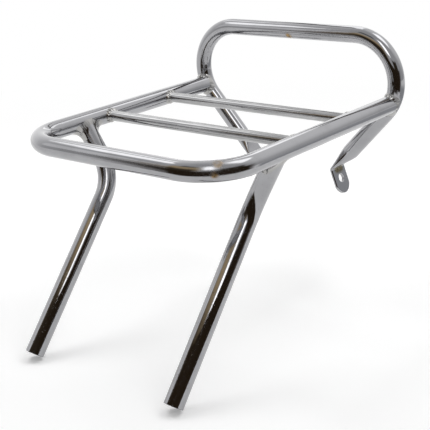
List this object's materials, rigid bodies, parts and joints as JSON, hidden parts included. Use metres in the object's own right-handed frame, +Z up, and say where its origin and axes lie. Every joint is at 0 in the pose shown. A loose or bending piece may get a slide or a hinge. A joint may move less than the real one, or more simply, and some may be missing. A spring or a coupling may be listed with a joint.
{
  "type": "motorcycle luggage rack",
  "caption": "Small chrome tube luggage rack with a flat barred platform, an upright hoop at one end, bolt tabs on its struts and two raked legs.",
  "frame": {"origin": "midway between the centres of the two bolt holes in the strut tabs", "axes": "+X across the rack, from one side rail to the other; +Y from the platform's free front end towards the hoop, whose plane is y = 0; +Z up, square to the platform"},
  "size_m": [0.231, 0.2986, 0.2445],
  "materials": {
    "rail_chrome": "polished",
    "hoop_chrome": "polished",
    "bar_chrome": "polished",
    "leg_chrome": "polished",
    "weld_metal": "plated over the weld"
  },
  "bodies": {
    "root": {"main_rail": "rail_chrome", "backrest_hoop": "hoop_chrome", "crossbar_front": "bar_chrome", "crossbar_rear": "bar_chrome", "leg_left": "leg_chrome", "leg_right": "leg_chrome", "weld_crossbar_front_left": "weld_metal", "weld_crossbar_front_right": "weld_metal", "weld_crossbar_rear_left": "weld_metal", "weld_crossbar_rear_right": "weld_metal", "weld_leg_left": "weld_metal", "weld_leg_right": "weld_metal", "weld_hoop_left": "weld_metal", "weld_hoop_right": "weld_metal"}
  },
  "joints": []
}
